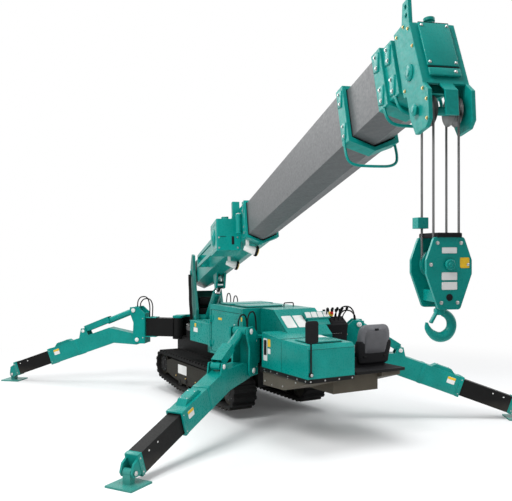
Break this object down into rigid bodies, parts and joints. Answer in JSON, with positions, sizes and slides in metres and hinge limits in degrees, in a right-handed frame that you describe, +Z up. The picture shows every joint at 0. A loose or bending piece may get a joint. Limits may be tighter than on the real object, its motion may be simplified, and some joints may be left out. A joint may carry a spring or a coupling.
{
  "type": "crawler crane",
  "caption": "Compact crawler crane standing on four folding outriggers, with a telescopic boom over its engine hood and an operator's seat at the rear",
  "frame": {"origin": "middle of the machine's overall box, on the ground under the pads", "axes": "+X forward, away from the operator's back; +Y to the machine's left; +Z up"},
  "size_m": [9.9572, 5.5354, 3.2616],
  "materials": {
    "machine_teal": "semi-gloss teal enamel",
    "track_rubber": "matt ribbed rubber",
    "frame_dark": "satin dark olive enamel",
    "black_plastic": "matt black",
    "seat_grey": "grained grey seat cover",
    "boom_grey": "satin grey enamel",
    "cast_steel": "as cast, greased",
    "rod_chrome": "polished hard chrome",
    "inner_black": "satin black enamel",
    "forged_hook": "forged steel, painted teal",
    "lamp_white": "white housing"
  },
  "bodies": {
    "chassis": {"base_frame": "frame_dark", "track_frames": "frame_dark", "track_left": "track_rubber", "track_right": "track_rubber", "track_rollers": "frame_dark", "engine_hood": "machine_teal", "engine_block": "frame_dark", "rear_hood": "machine_teal", "tool_box": "machine_teal", "side_tank": "machine_teal", "operator_platform": "black_plastic", "seat": "seat_grey", "console": "black_plastic", "control_levers": "black_plastic", "mirror": "black_plastic", "under_skirt": "frame_dark", "slew_ring": "cast_steel"},
    "door": {"engine_door": "machine_teal"},
    "column": {"column_frame": "machine_teal"},
    "luff_barrel": {"luff_barrel": "machine_teal"},
    "luff_sleeve": {"luff_sleeve": "rod_chrome"},
    "luff_rod": {"luff_rod": "rod_chrome"},
    "boom_base": {"boom_base": "machine_teal", "winch": "machine_teal", "work_lamps": "lamp_white"},
    "boom_second": {"boom_second": "boom_grey"},
    "boom_third": {"boom_third": "boom_grey"},
    "boom_fourth": {"boom_fourth": "boom_grey"},
    "boom_tip": {"boom_tip": "machine_teal", "head_sheaves": "cast_steel"},
    "hook_line": {"hoist_rope": "cast_steel"},
    "hook_block": {"hook_block": "machine_teal", "rope_weight": "machine_teal"},
    "hook": {"hook": "forged_hook"},
    "front_left_yoke": {"front_left_yoke": "machine_teal"},
    "front_left_arm": {"front_left_arm": "machine_teal"},
    "front_left_barrel": {"front_left_barrel": "machine_teal"},
    "front_left_rod": {"front_left_rod": "machine_teal"},
    "front_left_inner": {"front_left_inner": "inner_black"},
    "front_left_foot": {"front_left_foot": "machine_teal"},
    "front_right_yoke": {"front_right_yoke": "machine_teal"},
    "front_right_arm": {"front_right_arm": "machine_teal"},
    "front_right_barrel": {"front_right_barrel": "machine_teal"},
    "front_right_rod": {"front_right_rod": "machine_teal"},
    "front_right_inner": {"front_right_inner": "inner_black"},
    "front_right_foot": {"front_right_foot": "machine_teal"},
    "rear_left_yoke": {"rear_left_yoke": "machine_teal"},
    "rear_left_arm": {"rear_left_arm": "machine_teal"},
    "rear_left_barrel": {"rear_left_barrel": "machine_teal"},
    "rear_left_rod": {"rear_left_rod": "machine_teal"},
    "rear_left_inner": {"rear_left_inner": "inner_black"},
    "rear_left_foot": {"rear_left_foot": "machine_teal"},
    "rear_right_yoke": {"rear_right_yoke": "machine_teal"},
    "rear_right_arm": {"rear_right_arm": "machine_teal"},
    "rear_right_barrel": {"rear_right_barrel": "machine_teal"},
    "rear_right_rod": {"rear_right_rod": "machine_teal"},
    "rear_right_inner": {"rear_right_inner": "inner_black"},
    "rear_right_foot": {"rear_right_foot": "machine_teal"}
  },
  "joints": [
    {"name": "slew", "type": "hinge", "parent": "chassis", "child": "column", "pos_m": [2.58158, 0, 1], "axis": [0, 0, 1], "continuous": true},
    {"name": "boom_luff", "type": "hinge", "parent": "column", "child": "boom_base", "pos_m": [2.94299, -0.11743, 1.765], "axis": [0.309, 0.9511, 0], "range_deg": [-8.7, 71.3]},
    {"name": "luff_barrel_tilt", "type": "hinge", "parent": "column", "child": "luff_barrel", "pos_m": [2.43892, 0.04635, 1.095], "axis": [0.309, 0.9511, 0], "range_deg": [-7.61, 62.35]},
    {"name": "luff_sleeve_slide", "type": "slide", "parent": "luff_barrel", "child": "luff_sleeve", "axis": [-0.8503, 0.2763, 0.4479], "range_m": [-0.06319, 0.51786]},
    {"name": "luff_rod_slide", "type": "slide", "parent": "luff_sleeve", "child": "luff_rod", "axis": [-0.8503, 0.2763, 0.4479], "range_m": [-0.06319, 0.51786]},
    {"name": "boom_extend_second", "type": "slide", "parent": "boom_base", "child": "boom_second", "axis": [-0.9401, 0.3055, 0.1513], "range_m": [-2.88, 0]},
    {"name": "boom_extend_third", "type": "slide", "parent": "boom_second", "child": "boom_third", "axis": [-0.9401, 0.3055, 0.1513], "range_m": [-0.412, 2.6]},
    {"name": "boom_extend_fourth", "type": "slide", "parent": "boom_third", "child": "boom_fourth", "axis": [-0.9401, 0.3055, 0.1513], "range_m": [0, 2.9]},
    {"name": "boom_extend_tip", "type": "slide", "parent": "boom_fourth", "child": "boom_tip", "axis": [-0.9401, 0.3055, 0.1513], "range_m": [0, 2.9]},
    {"name": "hook_plumb", "type": "hinge", "parent": "boom_tip", "child": "hook_line", "pos_m": [-4.83045, 2.40831, 2.7274], "axis": [0.309, 0.9511, 0], "range_deg": [-72.73, 8.87]},
    {"name": "hoist", "type": "slide", "parent": "hook_line", "child": "hook_block", "axis": [0, 0, -1], "range_m": [-0.18, 1.45]},
    {"name": "hook_swivel", "type": "hinge", "parent": "hook_block", "child": "hook", "pos_m": [-4.83045, 2.40831, 1.7], "axis": [0, 0, 1], "continuous": true},
    {"name": "engine_door_swing", "type": "hinge", "parent": "chassis", "child": "door", "pos_m": [1.03158, 0.702, 1], "axis": [0, 0, -1], "range_deg": [0, 95]},
    {"name": "front_left_swing", "type": "hinge", "parent": "chassis", "child": "front_left_yoke", "pos_m": [2.88158, 0.37, 0.9], "axis": [0, 0, 1], "range_deg": [-28, 27]},
    {"name": "front_left_lift", "type": "hinge", "parent": "front_left_yoke", "child": "front_left_arm", "pos_m": [3.29979, 0.83447, 0.735], "axis": [0.7431, -0.6691, 0], "range_deg": [-4, 45]},
    {"name": "front_left_barrel_tilt", "type": "hinge", "parent": "front_left_yoke", "child": "front_left_barrel", "pos_m": [3.33994, 0.87905, 1.19], "axis": [0.7431, -0.6691, 0], "range_deg": [-4.26, 47.95]},
    {"name": "front_left_rod_slide", "type": "slide", "parent": "front_left_barrel", "child": "front_left_rod", "axis": [0.6215, 0.6903, -0.3705], "range_m": [-0.35695, 0.03173]},
    {"name": "front_left_extend", "type": "slide", "parent": "front_left_arm", "child": "front_left_inner", "axis": [0.6308, 0.7005, -0.3338], "range_m": [-0.6, 0]},
    {"name": "front_left_foot_tilt", "type": "hinge", "parent": "front_left_inner", "child": "front_left_foot", "pos_m": [4.7668, 2.46374, 0.10476], "axis": [-0.7431, 0.6691, 0], "range_deg": [-20, 20]},
    {"name": "front_right_swing", "type": "hinge", "parent": "chassis", "child": "front_right_yoke", "pos_m": [2.88158, -0.37, 0.9], "axis": [0, 0, -1], "range_deg": [-28, 27]},
    {"name": "front_right_lift", "type": "hinge", "parent": "front_right_yoke", "child": "front_right_arm", "pos_m": [3.29979, -0.83447, 0.735], "axis": [-0.7431, -0.6691, 0], "range_deg": [-4, 45]},
    {"name": "front_right_barrel_tilt", "type": "hinge", "parent": "front_right_yoke", "child": "front_right_barrel", "pos_m": [3.33994, -0.87905, 1.19], "axis": [-0.7431, -0.6691, 0], "range_deg": [-4.26, 47.95]},
    {"name": "front_right_rod_slide", "type": "slide", "parent": "front_right_barrel", "child": "front_right_rod", "axis": [0.6215, -0.6903, -0.3705], "range_m": [-0.35695, 0.03173]},
    {"name": "front_right_extend", "type": "slide", "parent": "front_right_arm", "child": "front_right_inner", "axis": [0.6308, -0.7005, -0.3338], "range_m": [-0.6, 0]},
    {"name": "front_right_foot_tilt", "type": "hinge", "parent": "front_right_inner", "child": "front_right_foot", "pos_m": [4.7668, -2.46374, 0.10476], "axis": [0.7431, 0.6691, 0], "range_deg": [-20, 20]},
    {"name": "rear_left_swing", "type": "hinge", "parent": "chassis", "child": "rear_left_yoke", "pos_m": [0.08158, 0.6, 0.9], "axis": [0, 0, 1], "range_deg": [-26, 18]},
    {"name": "rear_left_lift", "type": "hinge", "parent": "rear_left_yoke", "child": "rear_left_arm", "pos_m": [-0.03859, 0.79611, 0.735], "axis": [0.8526, 0.5225, 0], "range_deg": [-4, 28]},
    {"name": "rear_left_barrel_tilt", "type": "hinge", "parent": "rear_left_yoke", "child": "rear_left_barrel", "pos_m": [-0.06994, 0.84727, 1.19], "axis": [0.8526, 0.5225, 0], "range_deg": [-3.12, 21.81]},
    {"name": "rear_left_rod_slide", "type": "slide", "parent": "rear_left_barrel", "child": "rear_left_rod", "axis": [-0.4424, 0.7219, -0.5322], "range_m": [-0.21868, 0.03124]},
    {"name": "rear_left_extend", "type": "slide", "parent": "rear_left_arm", "child": "rear_left_inner", "axis": [-0.4925, 0.8037, -0.3338], "range_m": [-0.48, 0]},
    {"name": "rear_left_foot_tilt", "type": "hinge", "parent": "rear_left_inner", "child": "rear_left_foot", "pos_m": [-1.12041, 2.56147, 0.12011], "axis": [-0.8526, -0.5225, 0], "range_deg": [-20, 20]},
    {"name": "rear_right_swing", "type": "hinge", "parent": "chassis", "child": "rear_right_yoke", "pos_m": [0.08158, -0.6, 0.9], "axis": [0, 0, -1], "range_deg": [-26, 18]},
    {"name": "rear_right_lift", "type": "hinge", "parent": "rear_right_yoke", "child": "rear_right_arm", "pos_m": [-0.03859, -0.79611, 0.735], "axis": [-0.8526, 0.5225, 0], "range_deg": [-4, 28]},
    {"name": "rear_right_barrel_tilt", "type": "hinge", "parent": "rear_right_yoke", "child": "rear_right_barrel", "pos_m": [-0.06994, -0.84727, 1.19], "axis": [-0.8526, 0.5225, 0], "range_deg": [-3.12, 21.81]},
    {"name": "rear_right_rod_slide", "type": "slide", "parent": "rear_right_barrel", "child": "rear_right_rod", "axis": [-0.4424, -0.7219, -0.5322], "range_m": [-0.21868, 0.03124]},
    {"name": "rear_right_extend", "type": "slide", "parent": "rear_right_arm", "child": "rear_right_inner", "axis": [-0.4925, -0.8037, -0.3338], "range_m": [-0.48, 0]},
    {"name": "rear_right_foot_tilt", "type": "hinge", "parent": "rear_right_inner", "child": "rear_right_foot", "pos_m": [-1.12041, -2.56147, 0.12011], "axis": [0.8526, -0.5225, 0], "range_deg": [-20, 20]}
  ],
  "couplings": [
    {"joint": "luff_barrel_tilt", "follows": "boom_luff", "ratio": 0.85727},
    {"joint": "luff_sleeve_slide", "follows": "boom_luff", "m_per_rad": 0.40798},
    {"joint": "luff_rod_slide", "follows": "boom_luff", "m_per_rad": 0.40798},
    {"joint": "hook_plumb", "follows": "boom_luff", "ratio": -1},
    {"joint": "front_left_barrel_tilt", "follows": "front_left_lift", "ratio": 1.0446},
    {"joint": "front_left_rod_slide", "follows": "front_left_lift", "m_per_rad": -0.44557},
    {"joint": "front_right_barrel_tilt", "follows": "front_right_lift", "ratio": 1.0446},
    {"joint": "front_right_rod_slide", "follows": "front_right_lift", "m_per_rad": -0.44557},
    {"joint": "rear_left_barrel_tilt", "follows": "rear_left_lift", "ratio": 0.76353},
    {"joint": "rear_left_rod_slide", "follows": "rear_left_lift", "m_per_rad": -0.43871},
    {"joint": "rear_right_barrel_tilt", "follows": "rear_right_lift", "ratio": 0.76353},
    {"joint": "rear_right_rod_slide", "follows": "rear_right_lift", "m_per_rad": -0.43871}
  ]
}
